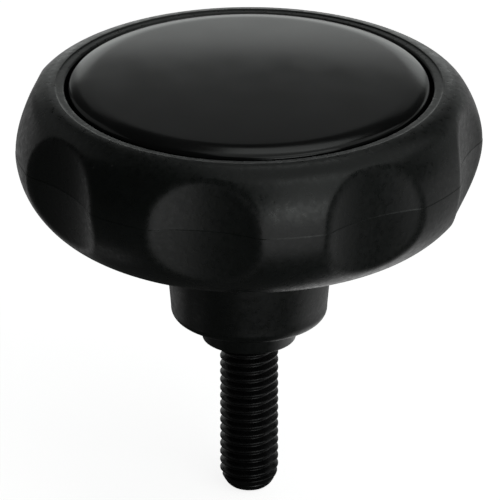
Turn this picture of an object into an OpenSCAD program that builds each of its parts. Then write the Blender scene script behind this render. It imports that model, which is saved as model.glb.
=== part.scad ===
// Scalloped clamping knob: a one-piece moulded grip with eight finger scallops,
// a press-in cover cap over its cored middle, and a moulded-in threaded stud.
// Millimetres, +Z up along the knob's axis, origin in the middle of the
// clamping face that is drawn against the work; the stud points down.

/* [Grip rim] */
// Diameter over the ridges of the grip
grip_d = 80; // [72:1:100]
// Height of the mould's parting line above the clamping face
parting_h = 35.6; // [33:0.2:42]
// Step left at the parting line, where the lower mould half stands proud
parting_step = 0.06; // [0.03:0.01:0.15]
// Radius of the rim's side above the parting line
side_r = 16.4; // [14:0.1:20]
// Angle at which the side turns into the shoulder
shoulder_angle = 31; // [24:0.2:38]
// Radius of the rounded shoulder
shoulder_r = 5.6; // [4.5:0.1:7]
// Depth of the flat land around the cap below the crest of the shoulder
land_drop = 0.16; // [0.05:0.01:0.4]
// Distance of the land's outer edge outside that crest
land_out = 0.2; // [0:0.1:0.6]
// Width of the land
land_w = 1.5; // [1:0.1:3]
// Radius of the rim's lower half
lower_r = 15; // [12:0.1:16]
// Depth of the flat underside inside the rim's lower edge
under_recess = 0.8; // [0.4:0.1:2]

/* [Finger scallops] */
// Number of finger scallops
scallops = 8; // [5:1:8]
// Depth of a scallop at the parting line
scallop_depth = 2.9; // [1.5:0.1:5]
// Radius of a scallop at the parting line
scallop_r = 28.5; // [14:0.5:34]
// Mould draft of a scallop above the parting line
upper_draft = 0.2; // [0:0.1:3]
// Mould draft of a scallop below the parting line
lower_draft = 6.4; // [0:0.1:8]

/* [Cored middle] */
// Depth of the cap's recess below the land
recess_depth = 4.7; // [4:0.1:7]
// Width of the ledge that the cap rests on
ledge_w = 2; // [1.2:0.1:4]
// Wall left under the cored pocket
floor_t = 4; // [3:0.1:7]
// Mould draft of the pocket's wall
pocket_draft = 1.5; // [0.5:0.1:3]
// Height of the ribs on the pocket's floor
rib_h = 6; // [3:0.5:8]
// Thickness of a rib
rib_t = 2.4; // [1.6:0.1:4]

/* [Hub] */
// Diameter of the hub at its lower end
hub_d = 26.8; // [24:0.2:32]
// Mould draft of the hub
hub_draft = 5; // [0:0.5:8]
// Rounding of the hub's lower edge
hub_edge_r = 1.8; // [0.4:0.1:3]
// Fillet between the hub and the underside of the rim
hub_fillet_r = 3; // [1:0.5:5]
// Diameter of the spigot's clamping face
spigot_d = 16; // [14:0.2:18]
// Height of the spigot below the hub
spigot_h = 4; // [2:0.1:7]
// Mould draft of the spigot
spigot_draft = 8; // [0:0.5:10]
// Radial clearance around the stud where it leaves the clamping face
mouth_gap = 0.5; // [0.2:0.1:1]
// Depth of that clearance
mouth_h = 0.6; // [0.3:0.1:1.5]

/* [Cover cap] */
// Radial gap between the cap and the wall of its recess
cap_gap = 0.6; // [0.3:0.1:1.5]
// Height of the cap's rounded edge above the land
cap_rise = 0.5; // [0:0.1:1.5]
// Radius of that edge
cap_edge_r = 0.9; // [0.5:0.1:1.5]
// Radius at which the dome rolls off towards the edge
cap_roll_r = 12; // [6:1:20]
// Slope of the roll-off where it meets the edge
cap_roll_angle = 20; // [12:1:30]
// Radius of the cap's shallow dome
cap_dome_r = 420; // [150:10:1000]
// Wall of the cap
cap_t = 2; // [1.2:0.1:2.6]
// Length of the press-fit skirt below the ledge
skirt_len = 6; // [3:0.5:10]
// Wall of the skirt
skirt_t = 1.6; // [1:0.1:2.4]
// Height of the snap bead around the skirt
bead_r = 0.5; // [0.3:0.1:0.8]
// Clearance of the skirt and its bead in the pocket
skirt_gap = 0.1; // [0.05:0.05:0.3]

/* [Threaded stud] */
// Thread diameter of the stud
stud_d = 10; // [8:0.5:12]
// Length of the stud below the clamping face
stud_len = 27.8; // [15:0.2:60]
// Diameter of the stud's end face
tip_d = 6.6; // [5:0.1:7.5]
// Length of the chamfer at the stud's end
tip_len = 3.2; // [0.5:0.1:4]
// Diameter of the plain shank inside the hub
shank_d = 9; // [7:0.1:11]
// Width across the flats of the head moulded into the hub
head_af = 16; // [14:0.5:17]
// Height of the head
head_h = 6.4; // [4:0.1:8]
// Plastic left between the head and the pocket's floor
head_cover = 6.2; // [4:0.1:8]
// Gap between the stud and the plastic moulded round it
insert_gap = 0.02; // [0.01:0.01:0.1]

/* [Hidden] */
$fn = 96;
// Neighbouring arcs overlap by this much, so that they join in one smooth outline
blend = 0.004;
// A cut or a hidden overlap runs this far past the face that it meets
past = 1;
grip_r = grip_d / 2;
// Centres of the three arcs of the rim's section, in radius and height
side_c = [grip_r - parting_step - side_r, parting_h];
shoulder_c = side_c + (side_r - shoulder_r) * [cos(shoulder_angle), sin(shoulder_angle)];
lower_c = [grip_r - lower_r, parting_h];
crest_z = shoulder_c[1] + shoulder_r;
land_z = crest_z - land_drop;
land_r = shoulder_c[0] + land_out;
under_z = parting_h - lower_r + under_recess;
// The cap's recess, its ledge and the pocket below, from the land inwards
recess_r = land_r - land_w;
cap_r = recess_r - cap_gap;
ledge_z = land_z - recess_depth;
pocket_r = cap_r - ledge_w;
pocket_z = under_z + floor_t;
pocket_floor_r = pocket_r - (ledge_z - pocket_z) * tan(pocket_draft);
// Hub and spigot, wider towards the rim by their draft
hub_r = hub_d / 2;
hub_top_r = hub_r + (under_z - spigot_h - hub_edge_r) * tan(hub_draft);
hub_fillet_c = [hub_top_r - hub_fillet_r * tan(hub_draft) + hub_fillet_r, under_z - hub_fillet_r];
spigot_r = spigot_d / 2;
// The cap's edge, its roll-off and its dome are tangent arcs
cap_edge_c = [cap_r - cap_edge_r, land_z + cap_rise - cap_edge_r];
cap_roll_c = cap_edge_c - (cap_roll_r - cap_edge_r) * [sin(cap_roll_angle), cos(cap_roll_angle)];
cap_roll_end = cap_roll_c[0] + cap_roll_r * sin(cap_roll_angle);
dome_angle = asin(cap_roll_c[0] / (cap_dome_r - cap_roll_r));
dome_end = cap_dome_r * sin(dome_angle);
dome_z = cap_roll_c[1] - (cap_dome_r - cap_roll_r) * cos(dome_angle);
// The skirt clears the narrow end of the pocket's drafted wall
skirt_r = pocket_r - skirt_len * tan(pocket_draft) - skirt_gap;
bead_c = [skirt_r, ledge_z - skirt_len + 2 * bead_r];
// The stud's head sits below the pocket's floor
head_z = pocket_z - head_cover - head_h;

// Half of the rim's section: side, shoulder and lower arcs around a straight-sided core
module rim_section() {
  intersection() {
    translate(side_c) circle(r = side_r);
    polygon([
      side_c - [past, past],
      [grip_r + past, parting_h - past],
      side_c + 2 * side_r * [cos(shoulder_angle), sin(shoulder_angle)],
      side_c,
    ]);
  }
  intersection() {
    translate(shoulder_c) circle(r = shoulder_r + blend);
    translate([0, parting_h]) square([grip_r, crest_z - parting_h + past]);
  }
  intersection() {
    translate(lower_c) circle(r = lower_r);
    translate([0, parting_h - lower_r - past]) square([grip_r + past, lower_r + past]);
  }
  polygon([
    [0, under_z],
    [lower_c[0], under_z],
    [shoulder_c[0], parting_h],
    [land_r - past, land_z + past],
    [0, land_z + past],
  ]);
}

// Half of the section of the hub with its rounded edge, its fillet and its spigot
module hub_section() {
  edge_c = [hub_r - hub_edge_r, spigot_h + hub_edge_r];
  translate(edge_c) circle(r = hub_edge_r + blend);
  polygon([
    [0, spigot_h],
    [edge_c[0], spigot_h],
    [hub_r, edge_c[1]],
    [hub_top_r, under_z],
    [hub_top_r, under_z + past],
    [0, under_z + past],
  ]);
  polygon([
    [0, 0],
    [spigot_r, 0],
    [spigot_r + (spigot_h + past) * tan(spigot_draft), spigot_h + past],
    [0, spigot_h + past],
  ]);
  difference() {
    translate(hub_fillet_c - [hub_fillet_r + past, 0]) square([hub_fillet_r + past, hub_fillet_r + past]);
    translate(hub_fillet_c + [-blend, blend]) circle(r = hub_fillet_r);
  }
}

// One finger scallop along +X: two cones that meet, one step apart, at the parting line
module scallop_cut() {
  up = crest_z - parting_h + past;
  down = lower_r + past;
  low_r = scallop_r - parting_step;
  translate([grip_r - scallop_depth + scallop_r, 0, parting_h]) {
    cylinder(h = up, r1 = scallop_r, r2 = scallop_r + up * tan(upper_draft), $fn = 180);
    translate([0, 0, -down]) cylinder(h = down + blend, r1 = low_r + down * tan(lower_draft), r2 = low_r, $fn = 180);
  }
}

// The part of the stud that the plastic holds, grown all round by gap
module stud_anchor(gap) {
  translate([0, 0, -past]) cylinder(h = head_z + 2 * past, d = shank_d + 2 * gap);
  translate([0, 0, head_z - gap]) cylinder(h = head_h + 2 * gap, d = (head_af + 2 * gap) / cos(30), $fn = 6);
}

// One rib along +X on the pocket's floor, from the axis into the wall
module rib() {
  translate([0, -rib_t / 2, pocket_z - past]) cube([pocket_floor_r + past, rib_t, rib_h + past]);
}

// The moulded grip: rim, hub and spigot in one piece, cored from above
module grip_body() {
  color([0.11, 0.115, 0.115]) {
    for (i = [0 : scallops - 1]) rotate([0, 0, (i + 0.5) * 360 / scallops]) rib();
    difference() {
      rotate_extrude(convexity = 6) {
        rim_section();
        hub_section();
      }
      for (i = [0 : scallops - 1]) rotate([0, 0, i * 360 / scallops]) scallop_cut();
      translate([0, 0, land_z]) cylinder(h = shoulder_r, r = land_r);
      translate([0, 0, ledge_z]) cylinder(h = recess_depth + past, r = recess_r);
      translate([0, 0, pocket_z])
        cylinder(h = ledge_z - pocket_z + blend, r1 = pocket_floor_r, r2 = pocket_r);
      rotate_extrude() translate(bead_c) circle(r = bead_r + skirt_gap);
      stud_anchor(insert_gap);
      translate([0, 0, -past]) cylinder(h = mouth_h + past, d = max(stud_d, shank_d) + 2 * mouth_gap);
    }
  }
}

// The press-in cap: a domed shell with a rounded edge, and a skirt with a snap bead
module cover_cap() {
  color([0.14, 0.145, 0.145])
    rotate_extrude(convexity = 6) {
      difference() {
        union() {
          intersection() {
            translate([0, dome_z]) circle(r = cap_dome_r, $fn = 1440);
            translate([0, ledge_z]) square([dome_end, cap_dome_r]);
          }
          intersection() {
            translate(cap_roll_c) circle(r = cap_roll_r + blend, $fn = 180);
            translate([dome_end - past, ledge_z]) square([cap_roll_end - dome_end + past, cap_roll_r]);
          }
          translate(cap_edge_c) circle(r = cap_edge_r + 2 * blend);
          translate([0, ledge_z]) square([cap_r, cap_edge_c[1] - ledge_z]);
        }
        translate([0, ledge_z - past])
          square([skirt_r - skirt_t, land_z + cap_rise - cap_t - ledge_z + past]);
      }
      translate([skirt_r - skirt_t, ledge_z - skirt_len]) square([skirt_t, skirt_len + past]);
      translate(bead_c) circle(r = bead_r);
    }
}

// The stud: a threaded end with a chamfered tip, and the shank and head that the plastic holds
module threaded_stud() {
  color([0.07, 0.07, 0.075]) {
    stud_anchor(0);
    translate([0, 0, tip_len - stud_len]) cylinder(h = stud_len - tip_len, d = stud_d);
    translate([0, 0, -stud_len]) cylinder(h = tip_len, d1 = tip_d, d2 = stud_d);
  }
}

grip_body();
cover_cap();
threaded_stud();
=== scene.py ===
import bpy
import numpy as np
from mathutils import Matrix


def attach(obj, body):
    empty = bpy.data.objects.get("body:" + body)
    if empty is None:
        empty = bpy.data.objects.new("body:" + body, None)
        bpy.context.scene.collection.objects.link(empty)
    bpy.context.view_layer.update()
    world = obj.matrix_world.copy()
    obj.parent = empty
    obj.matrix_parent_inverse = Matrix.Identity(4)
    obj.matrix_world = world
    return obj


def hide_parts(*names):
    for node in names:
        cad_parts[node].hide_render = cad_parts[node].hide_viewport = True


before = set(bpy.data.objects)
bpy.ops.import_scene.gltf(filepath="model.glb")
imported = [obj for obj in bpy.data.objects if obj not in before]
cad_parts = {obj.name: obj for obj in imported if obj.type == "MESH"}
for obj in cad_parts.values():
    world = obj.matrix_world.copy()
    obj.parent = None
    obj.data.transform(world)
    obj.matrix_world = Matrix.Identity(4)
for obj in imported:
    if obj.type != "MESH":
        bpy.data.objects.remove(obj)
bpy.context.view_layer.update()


# The grip is one black plastic moulding: a round rim with eight finger scallops, a drafted
# hub and a spigot under it, cored from above with low ribs. It came out of a two-part mould,
# which left a satin skin and a hairline step round the widest part of the rim.
mm = 0.001  # the pieces' sizes are in millimetres and their angles in degrees
grip_r = 40.0
parting_z, parting_step, step_fade = 35.6, 0.04, 0.05
side_r, shoulder_r, shoulder_angle, crown_angle, lower_r = 16.4, 5.6, 31.0, 84.0, 15.0
land_drop, land_out, land_w, land_ease = 0.16, 0.2, 1.5, 0.45
recess_depth, ledge_w, lip_end_h = 4.7, 2.0, 1.0
scallops, scallop_depth, scallop_r, scallop_edge = 8, 2.9, 28.5, 0.7
upper_draft, lower_draft = 0.2, 6.4
under_z, pocket_z, pocket_draft, pocket_ease = 21.4, 25.4, 1.5, 0.12
rib_h, rib_t, rib_foot, rib_root = 6.0, 2.4, 1.0, 0.6
hub_r, hub_draft, hub_edge_r, hub_fillet_r = 13.4, 5.0, 1.8, 3.0
spigot_r, spigot_h, spigot_draft = 8.0, 4.0, 8.0
mouth_r, mouth_h, shank_r, hole_ease = 5.5, 0.6, 4.5, 0.22
head_af, head_low, head_top, head_ease, insert_gap = 16.0, 12.8, 19.2, 0.1, 0.02
cap_gap, skirt_len, skirt_gap, bead_r, groove_half = 0.6, 6.0, 0.1, 0.5, 0.6

# How the mesh is laid out: the ring next to a pole, the ring where a hexagon gives way to
# circles, how far rings that meet keep apart, and the arc angles of the rim's fine rings.
pole_r, round_r, beside = 0.4, 6.5, 0.1
fine_start, fine_end, fine_margin = -69.0, 52.0, 3.0
below_step, above_step = -0.4, 0.9


def slope(angle):
    """Offset per unit of height of a face drafted by an angle in degrees: the tangent."""
    return np.tan(np.radians(angle))


def arc(centre, radius, start, end, count):
    """Points (r, z) on a circle round centre, evenly from the start to the end angle in degrees."""
    a = np.radians(np.linspace(start, end, count))
    return np.stack([centre[0] + radius * np.cos(a), centre[1] + radius * np.sin(a)], -1)


def eased(corners, ease, gap=2.0):
    """A broken line of (r, z) corners with each inner corner rounded.

    A corner is cut back by ease on both its sides, by less than half on a short side, and
    bridged by a parabola with the corner as its control point. A side longer than four times
    ease gets a point just beside each bridge and one about every gap. Doubled points are dropped.
    """
    p = np.asarray(corners, float)
    out = [p[:1]]
    for i in range(1, len(p)):
        a, b = p[i - 1], p[i]
        length = np.hypot(*(b - a))
        cut0 = 0 if i == 1 else min(ease, length / 2.2)
        cut1 = 0 if i == len(p) - 1 else min(ease, length / 2.2)
        inner = np.linspace(cut0 * 1.6, length - cut1 * 1.6, max(2, int(length / gap) + 2))
        inner = inner if length > 4 * ease else inner[:0]
        out.append(a + np.outer(inner / length, b - a))
        if i < len(p) - 1:
            c = p[i + 1]
            after = np.hypot(*(c - b))
            start = b + (a - b) / length * cut1
            end = b + (c - b) / after * min(ease, after / 2.2)
            t = np.linspace(0, 1, 5)[:, None]
            out.append((1 - t) ** 2 * start + 2 * t * (1 - t) * b + t ** 2 * end)
    out.append(p[-1:])
    path = np.concatenate(out)
    apart = np.hypot(*np.diff(path, axis=0).T) > 1e-6
    return path[np.append(True, apart)]


def hex_factor(turn):
    """Reach of a hexagon with corners at 0, 60 ... degrees, over half its width across flats.

    It is one over the cosine of the angle from the middle of the nearest flat.
    """
    return 1 / np.cos((turn + np.pi / 6) % (np.pi / 3) - np.pi / 6)


def turned(profile, turns, reach=1.0):
    """Rings of points in metres: each (r, z) of the profile carried round the axis, r times reach."""
    r = profile[:, 0, None] * reach + 0 * turns
    z = profile[:, 1, None] + 0 * r
    return np.stack([r * np.cos(turns), r * np.sin(turns), z], -1) * mm


def pole(z):
    """The one point of a pole on the axis, in metres."""
    return np.array([[0, 0, z * mm]])


def skin(rings, down=False):
    """Vertices and faces of a closed skin over rings that run from one pole to the other.

    Rings of equal length are joined by quads. Where the number of points changes by a whole
    factor, each coarse side is joined to that many fine sides by one many-sided face. A ring of
    one point is a pole and gets a fan. Faces point outwards where the rings run up the outside,
    and are turned round for rings that run down it.
    """
    vertices, faces, base = np.concatenate(rings), [], 0
    for a, b in zip(rings[:-1], rings[1:]):
        na, nb = len(a), len(b)
        i, first, second = np.arange(max(min(na, nb), 1)), base, base + na
        j = np.arange(max(na, nb))
        k = (j + 1) % len(j)
        if na == 1:
            sides = [0 * j + first, second + k, second + j]
        elif nb == 1:
            sides = [first + j, first + k, 0 * j + second]
        elif na >= nb:
            m = na // nb
            fine = [first + (i * m + s) % na for s in range(m + 1)]
            sides = fine + [second + (i + 1) % nb, second + i]
        else:
            m = nb // na
            fine = [second + (i * m + s) % nb for s in range(m, -1, -1)]
            sides = [first + i, first + (i + 1) % na] + fine
        faces += np.stack(sides[::-1] if down else sides, -1).tolist()
        base = second
    return vertices, faces


def piece(name, vertices, faces, flat_from=None):
    """A mesh object at the origin, smooth shaded, or flat shaded from face number flat_from on."""
    mesh = bpy.data.meshes.new(name)
    mesh.from_pydata(vertices, [], faces)
    smooth = np.ones(len(mesh.polygons), bool)
    smooth[len(smooth) if flat_from is None else flat_from:] = False
    mesh.polygons.foreach_set("use_smooth", smooth)
    obj = bpy.data.objects.new(name, mesh)
    bpy.context.collection.objects.link(obj)
    return obj


def scallop_floor(turn, z):
    """Radius of a scallop's floor at angle turn and height z.

    Seen along the axis the floor is a circle of radius q round a centre at distance A, so along a
    ray at angle t from the scallop's middle it is A cos t - sqrt(q^2 - A^2 sin^2 t). The radius q
    grows away from the parting line by the mould's draft, and the step takes a little off below it.
    """
    spacing = 2 * np.pi / scallops
    t = (turn + spacing / 2) % spacing - spacing / 2
    centre_r = grip_r - scallop_depth + scallop_r
    above = z - parting_z
    q = scallop_r + np.where(above > 0, slope(upper_draft), -slope(lower_draft)) * above
    q = q - parting_step * np.clip(1 - above / step_fade, 0, 1)
    return centre_r * np.cos(t) - np.sqrt(q ** 2 - (centre_r * np.sin(t)) ** 2)


def rim(profile, turns):
    """Rings of the rim and how near each point is to a scallop's edge, 0 to 1.

    The radius is the smaller of the profile's and the scallop floor's. Where the two are closer
    than scallop_edge it is lowered by scallop_edge / 4 times the square of that nearness, which
    rounds the edge between them.
    """
    r, z = profile[:, 0, None] + 0 * turns, profile[:, 1, None] + 0 * turns
    floor = scallop_floor(turns, z)
    near = np.clip(1 - np.abs(r - floor) / scallop_edge, 0, 1)
    r = np.minimum(r, floor) - near ** 2 * scallop_edge / 4
    return np.stack([r * np.cos(turns), r * np.sin(turns), z], -1) * mm, near


# Places that follow from the sizes: arc centres, the land and recess round the cap, the pocket
# under it with the groove for the cap's bead, the hub, and the room for the stud.
side_c = np.array([grip_r - parting_step - side_r, parting_z])
lean = np.radians(shoulder_angle)
shoulder_c = side_c + (side_r - shoulder_r) * np.array([np.cos(lean), np.sin(lean)])
lower_c = np.array([grip_r - lower_r, parting_z])
land_z = shoulder_c[1] + shoulder_r - land_drop
land_r = shoulder_c[0] + land_out
recess_r = land_r - land_w
pocket_r = recess_r - cap_gap - ledge_w
ledge_z = land_z - recess_depth
lip_end_z = ledge_z + lip_end_h
pocket_floor_r = pocket_r - (ledge_z - pocket_z) * slope(pocket_draft)
skirt_r = pocket_r - skirt_len * slope(pocket_draft) - skirt_gap
bead_z = ledge_z - skirt_len + 2 * bead_r
groove_r = pocket_r - (ledge_z - bead_z - groove_half) * slope(pocket_draft)
hub_low_z = spigot_h + hub_edge_r
hub_fillet_z = under_z - hub_fillet_r
hub_neck_r = hub_r + (hub_fillet_z - hub_low_z) * slope(hub_draft)
under_angle = np.degrees(np.arcsin((under_z - parting_z) / lower_r))
room_r, room_low, room_top = head_af / 2 + insert_gap, head_low - insert_gap, head_top + insert_gap
hole_r = shank_r + insert_gap

# Half profiles (r, z), in order: the room for the stud's head, down the hole and over the
# spigot, up the hub and under the rim, up the rim, over the land and down into the pocket.
head_room = eased([(pole_r, room_top), (room_r, room_top), (room_r, room_low),
                   (round_r + beside, room_low)], head_ease)
hole = eased([(round_r - beside, room_low), (hole_r, room_low), (hole_r, mouth_h), (mouth_r, mouth_h),
              (mouth_r, 0), (spigot_r, 0), (spigot_r + spigot_h * slope(spigot_draft), spigot_h),
              (hub_r - hub_edge_r - beside, spigot_h)], hole_ease)
hub = np.concatenate([
    arc((hub_r - hub_edge_r, hub_low_z), hub_edge_r, -90, 0, 9)[1:],
    np.linspace((hub_r, hub_low_z + 3 * beside), (hub_neck_r, hub_fillet_z - 2 * beside), 9),
    arc((hub_neck_r + hub_fillet_r, hub_fillet_z), hub_fillet_r, 180, 90, 10),
    arc(lower_c, lower_r, -180 - under_angle, fine_start - fine_margin, 12)])
lower_half = arc(lower_c, lower_r, fine_start, below_step, 42)
climb = np.array([0, 0.33, 0.67, 1])
step = np.stack([side_c[0] + side_r + parting_step * (1 - climb), parting_z + step_fade * climb], -1)
upper_half = np.concatenate([arc(side_c, side_r, above_step, shoulder_angle, 25)[:-1],
                             arc(shoulder_c, shoulder_r, shoulder_angle, fine_end, 8)])
rim_top = arc(shoulder_c, shoulder_r, fine_end + fine_margin, crown_angle, 10)
lip = eased([tuple(rim_top[-1]), (land_r + beside, land_z + land_drop), (land_r - beside / 2, land_z),
             (recess_r, land_z), (recess_r, lip_end_z)], land_ease)[1:-1]
pocket = eased([(recess_r, lip_end_z), (recess_r, ledge_z), (pocket_r, ledge_z),
                (groove_r, bead_z + groove_half), (skirt_r + bead_r + skirt_gap, bead_z),
                (skirt_r + skirt_gap / 2, bead_z - groove_half), (pocket_floor_r, pocket_z),
                (pole_r, pocket_z)], pocket_ease)

few_turns = np.linspace(0, 2 * np.pi, 180, endpoint=False)
many_turns = np.linspace(0, 2 * np.pi, 720, endpoint=False)
rim_rings, rim_edge = rim(np.concatenate([lower_half, step, upper_half]), many_turns)
rings_below = [pole(room_top), *turned(head_room, few_turns, hex_factor(few_turns)),
               *turned(hole, few_turns), *turned(hub, few_turns)]
rings_above = [*turned(np.concatenate([rim_top, lip, pocket]), few_turns), pole(pocket_z)]
grip_points, grip_faces = skin([*rings_below, *rim_rings, *rings_above])

# Ribs: four bars across the pocket's floor, each under a pair of opposite ridges, let into the
# floor and the wall.
rib_turns = (np.arange(scallops // 2) + 0.5) * 2 * np.pi / scallops
rib_end = pocket_floor_r + rib_root
corner = np.array([[x, y, z] for z in (pocket_z - rib_foot, pocket_z + rib_h)
                   for y in (-rib_t / 2, rib_t / 2) for x in (-rib_end, rib_end)]) * mm
along = np.stack([np.cos(rib_turns), np.sin(rib_turns)], -1)[:, None]
across = np.stack([-np.sin(rib_turns), np.cos(rib_turns)], -1)[:, None]
rib_xy = corner[:, 0, None] * along + corner[:, 1, None] * across
rib_z = np.broadcast_to(corner[:, 2, None], (len(rib_turns), len(corner), 1))
rib_points = np.concatenate([rib_xy, rib_z], -1).reshape(-1, 3)
bar_faces = np.array([[0, 2, 3, 1], [4, 5, 7, 6], [0, 1, 5, 4], [2, 6, 7, 3], [0, 4, 6, 2], [1, 3, 7, 5]])
first_corner = len(grip_points) + len(corner) * np.arange(len(rib_turns))
rib_faces = (bar_faces + first_corner[:, None, None]).reshape(-1, 4).tolist()
grip = piece("grip", np.concatenate([grip_points, rib_points]), grip_faces + rib_faces, len(grip_faces))

edge = np.zeros(len(grip.data.vertices), np.float32)
rim_start = sum(len(ring) for ring in rings_below)
edge[rim_start:rim_start + rim_edge.size] = rim_edge.ravel()
grip.data.attributes.new("scallop_edge", "FLOAT", "POINT").data.foreach_set("value", edge)


def put(tree, kind, sockets=None, **settings):
    """Adds a shader node. A socket's entry is a value to set or another node's output to link."""
    n = tree.nodes.new(kind)
    for key, value in settings.items():
        setattr(n, key, value)
    for key, value in (sockets or {}).items():
        if isinstance(value, bpy.types.NodeSocket):
            tree.links.new(value, n.inputs[key])
        else:
            n.inputs[key].default_value = value
    return n


def finish_of(name):
    """A new material with a Principled shader: returns the material, its node tree and that shader."""
    made = bpy.data.materials.new(name)
    made.use_nodes = True
    return made, made.node_tree, made.node_tree.nodes["Principled BSDF"]


def effect(name, inputs, outputs):
    """A new shader node group: returns the group, its input node and its output node."""
    group = bpy.data.node_groups.new(name, "ShaderNodeTree")
    for socket, kind, value in inputs:
        made = group.interface.new_socket(socket, in_out="INPUT", socket_type=kind)
        if value is not None:
            made.default_value = value
    for socket, kind in outputs:
        group.interface.new_socket(socket, in_out="OUTPUT", socket_type=kind)
    return group, group.nodes.new("NodeGroupInput"), group.nodes.new("NodeGroupOutput")


# Moulded skin: the fine spark-eroded grain of the mould, and the slow unevenness of the plastic
# over a few millimetres where it shrank. Both mouldings take it with their own grain size.
moulded_skin, skin_in, skin_out = effect(
    "moulded_skin",
    [("Vector", "NodeSocketVector", None), ("Grain", "NodeSocketFloat", 1000.0),
     ("Patches", "NodeSocketFloat", 300.0)],
    [("Height", "NodeSocketFloat"), ("Patch", "NodeSocketFloat"), ("Grain", "NodeSocketFloat")])
grain = put(moulded_skin, "ShaderNodeTexNoise",
            {"Vector": skin_in.outputs["Vector"], "Scale": skin_in.outputs["Grain"],
             "Detail": 2.0, "Roughness": 0.6})
patch = put(moulded_skin, "ShaderNodeTexNoise",
            {"Vector": skin_in.outputs["Vector"], "Scale": skin_in.outputs["Patches"],
             "Detail": 2.0, "Roughness": 0.5})
deep = put(moulded_skin, "ShaderNodeMath", {0: patch.outputs["Fac"], 1: 0.6}, operation="MULTIPLY")
both = put(moulded_skin, "ShaderNodeMath", {0: grain.outputs["Fac"], 1: deep.outputs[0]}, operation="ADD")
moulded_skin.links.new(both.outputs[0], skin_out.inputs["Height"])
moulded_skin.links.new(patch.outputs["Fac"], skin_out.inputs["Patch"])
moulded_skin.links.new(grain.outputs["Fac"], skin_out.inputs["Grain"])

# Dust: small specks that lie scattered on the mouldings, in about one cell in six of a cell
# pattern. Each is a spot round its cell's point that fades out at Size.
empty_cells = 0.84
dust, dust_in, dust_out = effect(
    "dust",
    [("Vector", "NodeSocketVector", None), ("Cells", "NodeSocketFloat", 300.0),
     ("Size", "NodeSocketFloat", 0.07)],
    [("Speck", "NodeSocketFloat")])
cells = put(dust, "ShaderNodeTexVoronoi",
            {"Vector": dust_in.outputs["Vector"], "Scale": dust_in.outputs["Cells"]})
pick = put(dust, "ShaderNodeSeparateColor", {0: cells.outputs["Color"]})
taken = put(dust, "ShaderNodeMath", {0: pick.outputs[0], 1: empty_cells}, operation="GREATER_THAN")
spot = put(dust, "ShaderNodeMapRange",
           {"Value": cells.outputs["Distance"], "From Min": dust_in.outputs["Size"],
            "From Max": 0.0, "To Min": 0.0, "To Max": 1.0})
speck = put(dust, "ShaderNodeMath", {0: spot.outputs[0], 1: taken.outputs[0]}, operation="MULTIPLY")
dust.links.new(speck.outputs[0], dust_out.inputs["Speck"])

# The grip's satin black: uneven in slow patches, paler and smoother where hands rub the scallop
# edges, with a painted highlight along every scallop edge, and with grain in its gloss and its relief.
grip_dark, grip_pale = (0.0040, 0.0052, 0.0046, 1), (0.0080, 0.0100, 0.0090, 1)
# The pale edge colour is rubbing wear and also a painted highlight along the scallop edges.
grip_rub_and_highlight, grip_dust = (0.02, 0.0212, 0.0206, 1), (0.05, 0.05, 0.047, 1)
grip_plastic, tree, shader = finish_of("satin_black_moulding")
place = put(tree, "ShaderNodeTexCoord")
surface = put(tree, "ShaderNodeGroup", node_tree=moulded_skin)
specks = put(tree, "ShaderNodeGroup", node_tree=dust)
tree.links.new(place.outputs["Object"], surface.inputs["Vector"])
tree.links.new(place.outputs["Object"], specks.inputs["Vector"])
tone = put(tree, "ShaderNodeMix", {"Factor": surface.outputs["Patch"], "A": grip_dark, "B": grip_pale},
           data_type="RGBA")
edge_nearness = put(tree, "ShaderNodeAttribute", attribute_name="scallop_edge")
# Nearness to a scallop edge times grain: rubbing wear plus a painted highlight, paler and smoother.
rub_and_highlight_mask = put(tree, "ShaderNodeMath", {0: edge_nearness.outputs["Fac"], 1: surface.outputs["Grain"]},
             operation="MULTIPLY")
rubbed_and_highlit = put(tree, "ShaderNodeMix", {"Factor": rub_and_highlight_mask.outputs[0], "A": tone.outputs[2], "B": grip_rub_and_highlight},
              data_type="RGBA")
colour = put(tree, "ShaderNodeMix",
             {"Factor": specks.outputs["Speck"], "A": rubbed_and_highlit.outputs[2], "B": grip_dust}, data_type="RGBA")
gloss = put(tree, "ShaderNodeMapRange",
            {"Value": surface.outputs["Grain"], "From Min": 0.3, "From Max": 0.7,
             "To Min": 0.25, "To Max": 0.41})
smoothed = put(tree, "ShaderNodeMath", {0: rub_and_highlight_mask.outputs[0], 1: -0.08, 2: gloss.outputs[0]},
               operation="MULTIPLY_ADD")
relief = put(tree, "ShaderNodeBump",
             {"Height": surface.outputs["Height"], "Strength": 0.3, "Distance": 0.0001})
tree.links.new(colour.outputs[2], shader.inputs["Base Color"])
tree.links.new(smoothed.outputs[0], shader.inputs["Roughness"])
tree.links.new(relief.outputs[0], shader.inputs["Normal"])
grip.data.materials.append(grip_plastic)
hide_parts("grip_body")
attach(grip, "root")


# The stud is a steel screw with a blackened finish, moulded into the hub by its plain shank and
# hexagon head. Its rolled right-hand thread is 10 mm across with a 1.5 mm pitch and runs out in
# the rounded chamfer of its flat end.
crest_r, root_r, pitch, stud_len = 5.0, 4.08, 1.5, 27.8
tip_r, tip_len, tip_bulge, tip_edge = 3.3, 3.2, 0.25, 0.8
thread_fade, start_chamfer, neck_h, last_ring_h = 0.9, 0.15, 0.02, 0.05
view_turn = 11.3  # the camera's compass turn in degrees, from -Y towards +X
front_turn, front_crest = np.radians(view_turn - 90), -1.75  # a crest on the camera's side


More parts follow.
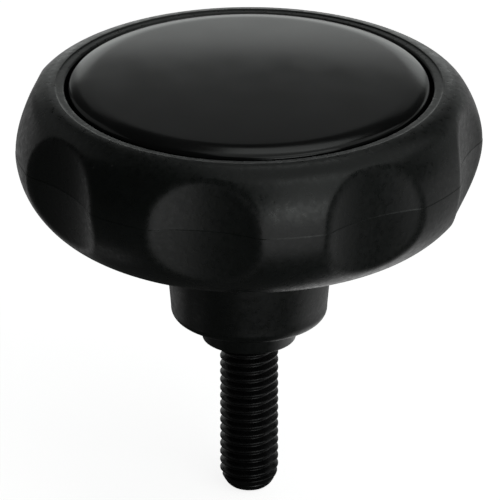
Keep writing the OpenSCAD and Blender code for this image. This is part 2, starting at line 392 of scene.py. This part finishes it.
def thread_radius(turn, z):
    """Radius of the threaded end at angle turn and height z.

    The distance along the pitch from the nearest crest gives a trapezium: flat for an eighth of
    the pitch on the crest, 60 degree flanks, flat at root_r. The groove fades in below the clamping
    face, where the crest has a small chamfer. The end cuts it off: a cone that bulges by a parabola
    and turns in by a third of tip_edge over the last tip_edge.
    """
    along = z - front_crest - pitch * (turn - front_turn) / (2 * np.pi)
    off = np.abs((along + pitch / 2) % pitch - pitch / 2)
    groove = np.clip((off - pitch / 16) * np.sqrt(3), 0, crest_r - root_r)
    groove = groove * np.clip(-z / thread_fade, 0, 1)
    up = z + stud_len
    share = np.clip(up / tip_len, 0, 1)
    cone = tip_r + (crest_r - tip_r) * up / tip_len + 4 * tip_bulge * share * (1 - share)
    cone = cone - tip_edge / 3 * np.clip(1 - up / tip_edge, 0, 1) ** 2
    start = crest_r - start_chamfer + np.minimum(-z, start_chamfer)
    return np.minimum(crest_r - groove, np.minimum(cone, start))


stud_turns = np.linspace(0, 2 * np.pi, 120, endpoint=False)
thread_z = np.linspace(0, -stud_len + last_ring_h, 440)
thread_rings = turned(np.stack([np.ones_like(thread_z), thread_z], -1), stud_turns,
                      thread_radius(stud_turns, thread_z[:, None]))
head = eased([(pole_r, head_top), (head_af / 2, head_top), (head_af / 2, head_low),
              (round_r, head_low)], head_ease)
shank = eased([(round_r - 2 * beside, head_low), (shank_r, head_low), (shank_r, neck_h),
               (shank_r + beside, 0)], head_ease)
end_r = np.array([tip_r - 0.45, tip_r - 0.8, 1.4, pole_r])  # from the turned-in edge to the middle
end_face = np.stack([end_r, 0 * end_r - stud_len], -1)
rings_above = [pole(head_top), *turned(head, stud_turns, hex_factor(stud_turns)),
               *turned(shank, stud_turns)]
rings_below = [*turned(end_face, stud_turns), pole(-stud_len)]
stud_points, stud_faces = skin([*rings_above, *thread_rings, *rings_below], down=True)
stud = piece("stud", stud_points, stud_faces)

crest_band = 0.3
crest_mask = np.zeros(len(stud_points), np.float32)
thread_start = sum(len(ring) for ring in rings_above)
thread_reach = np.hypot(thread_rings[..., 0], thread_rings[..., 1]) / mm
on_crest = np.clip((thread_reach - crest_r + crest_band) / crest_band, 0, 1)
crest_mask[thread_start:thread_start + on_crest.size] = on_crest.ravel()
stud.data.attributes.new("thread_crest", "FLOAT", "POINT").data.foreach_set("value", crest_mask)

steel_dark, steel_pale = (0.0030, 0.0031, 0.0034, 1), (0.0085, 0.0086, 0.009, 1)
# The crest colour is bare steel where the blackening wears off and also a painted highlight on the crests.
steel_bare_and_highlight = (0.032, 0.032, 0.033, 1)
stud_steel, tree, shader = finish_of("blackened_steel")
place = put(tree, "ShaderNodeTexCoord")
film = put(tree, "ShaderNodeTexNoise", {"Vector": place.outputs["Object"], "Scale": 1100.0, "Detail": 4.0})
tone = put(tree, "ShaderNodeMix", {"Factor": film.outputs["Fac"], "A": steel_dark, "B": steel_pale},
           data_type="RGBA")
ridge = put(tree, "ShaderNodeAttribute", attribute_name="thread_crest")
# Crests paler and partly metallic: worn blackening, and a painted highlight along every crest.
bare_and_highlit_crest = put(tree, "ShaderNodeMath", {0: ridge.outputs["Fac"], 1: film.outputs["Fac"]}, operation="MULTIPLY")
colour = put(tree, "ShaderNodeMix", {"Factor": bare_and_highlit_crest.outputs[0], "A": tone.outputs[2], "B": steel_bare_and_highlight},
             data_type="RGBA")
gloss = put(tree, "ShaderNodeMapRange",
            {"Value": film.outputs["Fac"], "From Min": 0.3, "From Max": 0.7,
             "To Min": 0.22, "To Max": 0.34})
metal = put(tree, "ShaderNodeMath", {0: bare_and_highlit_crest.outputs[0], 1: 0.5}, operation="MULTIPLY")
film_relief = put(tree, "ShaderNodeBump",
                  {"Height": film.outputs["Fac"], "Strength": 0.15, "Distance": 0.00004})
tree.links.new(colour.outputs[2], shader.inputs["Base Color"])
tree.links.new(gloss.outputs[0], shader.inputs["Roughness"])
tree.links.new(metal.outputs[0], shader.inputs["Metallic"])
tree.links.new(film_relief.outputs[0], shader.inputs["Normal"])
shader.inputs["Specular IOR Level"].default_value = 0.58
stud.data.materials.append(stud_steel)
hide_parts("threaded_stud")
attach(stud, "root")


# The cover cap is a second black moulding with a smoother skin: a shallow dome with a rounded
# edge and a skirt with a snap bead, pressed into the cored middle of the grip.
cap_rise, cap_edge_r, cap_roll_r, cap_roll_angle = 0.5, 0.9, 12.0, 20.0
cap_dome_r, cap_t, skirt_t, cap_ease, first_share = 420.0, 2.0, 1.6, 0.16, 0.02
cap_r = recess_r - cap_gap
cap_edge_c = np.array([cap_r - cap_edge_r, land_z + cap_rise - cap_edge_r])
roll = np.radians(cap_roll_angle)
cap_roll_c = cap_edge_c - (cap_roll_r - cap_edge_r) * np.array([np.sin(roll), np.cos(roll)])
dome_angle = np.degrees(np.arcsin(cap_roll_c[0] / (cap_dome_r - cap_roll_r)))
dome_c = np.array([0, cap_roll_c[1] - (cap_dome_r - cap_roll_r) * np.cos(np.radians(dome_angle))])
cap_top = dome_c[1] + cap_dome_r
cap_in_z = land_z + cap_rise - cap_t
cap_in_r = skirt_r - skirt_t
skirt_z = ledge_z - skirt_len

# Half profile (r, z): out over the dome from the first small share of its angle, round its edge,
# and back in under it along the skirt.
dome = arc(dome_c, cap_dome_r, 90 - dome_angle * first_share, 90 - dome_angle, 26)
cap_edge = np.concatenate([arc(cap_roll_c, cap_roll_r, 90 - dome_angle, 90 - cap_roll_angle, 14)[1:],
                           arc(cap_edge_c, cap_edge_r, 90 - cap_roll_angle, 0, 12)[1:]])
under_cap = eased([tuple(cap_edge[-1]), (cap_r, ledge_z), (skirt_r, ledge_z), (skirt_r, bead_z + bead_r),
                   (skirt_r + bead_r, bead_z), (skirt_r, bead_z - bead_r), (skirt_r, skirt_z),
                   (cap_in_r, skirt_z), (cap_in_r, cap_in_z), (pole_r, cap_in_z)], cap_ease)[1:]
cap_turns = np.linspace(0, 2 * np.pi, 360, endpoint=False)
cap_rings = turned(np.concatenate([dome, cap_edge, under_cap]), cap_turns)
cap_points, cap_faces = skin([pole(cap_top), *cap_rings, pole(cap_in_z)], down=True)
cap = piece("cap", cap_points, cap_faces)

cap_dark, cap_pale = (0.0034, 0.0037, 0.0037, 1), (0.0058, 0.0063, 0.0062, 1)
cap_dust = (0.03, 0.03, 0.028, 1)
cap_plastic, tree, shader = finish_of("smooth_black_moulding")
place = put(tree, "ShaderNodeTexCoord")
surface = put(tree, "ShaderNodeGroup", {"Grain": 3200.0, "Patches": 130.0}, node_tree=moulded_skin)
specks = put(tree, "ShaderNodeGroup", {"Cells": 210.0, "Size": 0.045}, node_tree=dust)
tree.links.new(place.outputs["Object"], surface.inputs["Vector"])
tree.links.new(place.outputs["Object"], specks.inputs["Vector"])
tone = put(tree, "ShaderNodeMix", {"Factor": surface.outputs["Patch"], "A": cap_dark, "B": cap_pale},
           data_type="RGBA")
colour = put(tree, "ShaderNodeMix",
             {"Factor": specks.outputs["Speck"], "A": tone.outputs[2], "B": cap_dust}, data_type="RGBA")
gloss = put(tree, "ShaderNodeMapRange",
            {"Value": surface.outputs["Patch"], "From Min": 0.3, "From Max": 0.7,
             "To Min": 0.14, "To Max": 0.18})
dulled = put(tree, "ShaderNodeMath", {0: specks.outputs["Speck"], 1: 0.5, 2: gloss.outputs[0]},
             operation="MULTIPLY_ADD")
relief = put(tree, "ShaderNodeBump",
             {"Height": surface.outputs["Height"], "Strength": 0.08, "Distance": 0.00005})
tree.links.new(colour.outputs[2], shader.inputs["Base Color"])
tree.links.new(dulled.outputs[0], shader.inputs["Roughness"])
tree.links.new(relief.outputs[0], shader.inputs["Normal"])
cap.data.materials.append(cap_plastic)
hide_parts("cover_cap")
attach(cap, "root")


# The set: a wide sheet of white paper under the stud's end. The camera sees it bright, a little
# darker where the part keeps the light off it, and sees through it from below. In reflections
# it is grey and glows in soft patches of painted light, where lamp-lit paper would be bright.
paper_half, paper_gap = 6.0, 0.0002  # metres
paper_white, paper_glow, paper_grey = (0.85, 0.85, 0.85, 1), 0.86, (0.2, 0.2, 0.2, 1)
paper_corners = np.array([[-1, -1], [1, -1], [1, 1], [-1, 1]]) * paper_half
paper_z = -stud_len * mm - paper_gap
paper = piece("paper", np.column_stack([paper_corners, np.full(4, paper_z)]), [[0, 1, 2, 3]])


def compass(turn, rise=0.0):
    """Unit vector at a compass turn from the camera's side and a rise above the floor, in degrees.

    Turn 0 points at the camera and 90 to its right. With view_turn added, X is the sine of the
    turn and -Y its cosine, both times the cosine of the rise, and Z is the sine of the rise.
    """
    a, e = np.radians(view_turn + turn), np.radians(rise)
    return np.array([np.cos(e) * np.sin(a), -np.cos(e) * np.cos(a), np.sin(e)])


white_paper, tree, shader = finish_of("white_paper")
rays = put(tree, "ShaderNodeLightPath")
place = put(tree, "ShaderNodeTexCoord")
way = put(tree, "ShaderNodeVectorMath", {0: place.outputs["Object"]}, operation="NORMALIZE")
away = put(tree, "ShaderNodeVectorMath", {0: place.outputs["Object"]}, operation="LENGTH")

# Masks by the distance from the clamping face, in metres: near is the paper round the stud,
# middle the ring beyond it, and past_hub the rest.
past_stud = put(tree, "ShaderNodeMapRange",
                {"Value": away.outputs["Value"], "From Min": 0.05, "From Max": 0.085},
                interpolation_type="SMOOTHSTEP").outputs[0]
past_hub = put(tree, "ShaderNodeMapRange",
               {"Value": away.outputs["Value"], "From Min": 0.075, "From Max": 0.13},
               interpolation_type="SMOOTHSTEP").outputs[0]
near = put(tree, "ShaderNodeMath", {0: 1.0, 1: past_stud}, operation="SUBTRACT").outputs[0]
middle = put(tree, "ShaderNodeMath", {0: past_stud, 1: past_hub}, operation="SUBTRACT").outputs[0]


def painted_glow_patch(turn, edge, core, level, where, so_far):
    """Adds a soft patch of painted light to the paper's glow: level within core degrees of a turn, none
    past edge.

    The dot product of the way out from the part with that turn's direction is eased between the
    cosines of edge and core, multiplied by the mask where and added to the patches so far.
    """
    toward = put(tree, "ShaderNodeVectorMath", {0: way.outputs[0], 1: compass(turn)},
                 operation="DOT_PRODUCT")
    soft = put(tree, "ShaderNodeMapRange",
               {"Value": toward.outputs["Value"], "From Min": np.cos(np.radians(edge)),
                "From Max": np.cos(np.radians(core)), "To Max": level}, interpolation_type="SMOOTHSTEP")
    added = put(tree, "ShaderNodeMath", {0: soft.outputs[0], 1: where, 2: so_far}, operation="MULTIPLY_ADD")
    return added.outputs[0]


# Painted light: patches where the paper glows to reflections, placed where lamp-lit paper would be bright.
painted_glow = painted_glow_patch(136, 75, 42, 0.31, 1.0, 0.0)         # behind on the right, at every distance
painted_glow = painted_glow_patch(120, 75, 42, 0.56, near, painted_glow)        # right, close to the stud
painted_glow = painted_glow_patch(235, 40, 18, 0.28, middle, painted_glow)      # behind on the left, under the rim
painted_glow = painted_glow_patch(200, 48, 15, 0.30, past_hub, painted_glow)    # behind, far out
painted_glow = painted_glow_patch(-78, 32, 14, 0.72, near, painted_glow)        # left, close to the stud
painted_glow = painted_glow_patch(14, 38, 18, 0.58, past_hub, painted_glow)     # in front, far out
seen = put(tree, "ShaderNodeMath",
           {0: rays.outputs["Is Camera Ray"], 1: rays.outputs["Is Transmission Ray"]}, operation="MAXIMUM")
glow = put(tree, "ShaderNodeMix", {"Factor": seen.outputs[0], "A": painted_glow, "B": paper_glow})
white = put(tree, "ShaderNodeMix", {"Factor": seen.outputs[0], "A": paper_grey, "B": paper_white},
            data_type="RGBA")
tree.links.new(white.outputs[2], shader.inputs["Base Color"])
tree.links.new(glow.outputs[0], shader.inputs["Emission Strength"])
shader.inputs["Emission Color"].default_value = (1, 1, 1, 1)
shader.inputs["Roughness"].default_value = 0.9
shader.inputs["Specular IOR Level"].default_value = 0.0
face = put(tree, "ShaderNodeNewGeometry")
clear = put(tree, "ShaderNodeBsdfTransparent")
sheet = put(tree, "ShaderNodeMixShader", {0: face.outputs["Backfacing"], 1: shader.outputs[0],
                                          2: clear.outputs[0]})
tree.links.new(sheet.outputs[0], tree.nodes["Material Output"].inputs["Surface"])
paper.data.materials.append(white_paper)


# Light: a dim room, white to the camera, a stack of panels behind the part that the cap mirrors,
# and soft boxes in front on the right, overhead, on the right and behind on the left.
room_level, lamp_tint, lamp_aim_z = 0.02, (0.965, 1.0, 0.98), 0.02
room = bpy.data.worlds.new("room")
bpy.context.scene.world = room
room.use_nodes = True
tree = room.node_tree
background = tree.nodes["Background"]
rays = put(tree, "ShaderNodeLightPath")
level = put(tree, "ShaderNodeMapRange",
            {"Value": rays.outputs["Is Camera Ray"], "To Min": room_level, "To Max": 1.0})
tree.links.new(level.outputs[0], background.inputs["Strength"])
background.inputs["Color"].default_value = (1, 1, 1, 1)


def soft_box(name, turn, rise, reach, width, height, watts):
    """A rectangular lamp at a compass turn, a rise and a reach in metres, aimed at the part's middle."""
    lamp = bpy.data.lights.new(name, "AREA")
    lamp.shape, lamp.size, lamp.size_y, lamp.energy = "RECTANGLE", width, height, watts
    lamp.color = lamp_tint
    obj = bpy.data.objects.new(name, lamp)
    obj.location = compass(turn, rise) * reach + np.array([0, 0, lamp_aim_z])
    obj.rotation_euler = (np.pi / 2 - np.radians(rise), 0, np.radians(view_turn + turn))
    bpy.context.collection.objects.link(obj)


soft_box("back_wide", 171, 11, 1.2, 1.7, 0.44, 0.9)
soft_box("back_low", 179, 6, 1.2, 0.6, 0.22, 0.29)
soft_box("back_panel", 179, 16, 1.2, 0.6, 0.22, 0.21)
soft_box("back_high", 179, 29, 1.2, 0.6, 0.25, 0.06)
soft_box("back_top", 170, 56, 1.0, 0.3, 0.24, 0.14)
soft_box("front_low", 25, 8, 0.9, 0.5, 0.26, 0.74)
soft_box("front_right", 35, 38, 0.9, 0.7, 0.8, 1.0)
soft_box("overhead", 85, 68, 1.0, 1.3, 1.3, 1.7)
soft_box("right_box", 100, 30, 0.9, 0.6, 0.5, 0.08)
soft_box("right_low", 120, 10, 0.9, 0.6, 0.3, 0.12)
soft_box("back_left", 237, 33, 1.0, 0.8, 0.5, 0.16)
soft_box("left_low", -130, 10, 0.9, 0.5, 0.3, 0.05)


# The camera stands far off, 24 degrees above the part, with a long lens. Its small shift sets the
# part in the frame.
camera_rise, camera_reach, camera_aim_z = 23.902, 3.3333, 0.016267
camera_data = bpy.data.cameras.new("camera")
camera = bpy.data.objects.new("camera", camera_data)
bpy.context.collection.objects.link(camera)
bpy.context.scene.camera = camera
camera.location = compass(0, camera_rise) * camera_reach + np.array([0, 0, camera_aim_z])
camera.rotation_euler = (np.pi / 2 - np.radians(camera_rise), 0, np.radians(view_turn))
camera_data.lens, camera_data.sensor_width = 1402.6, 36
camera_data.shift_x, camera_data.shift_y = 0.0017, -0.0022
camera_data.clip_start, camera_data.clip_end = 0.1, 30

bpy.context.scene.view_settings.view_transform = "Standard"
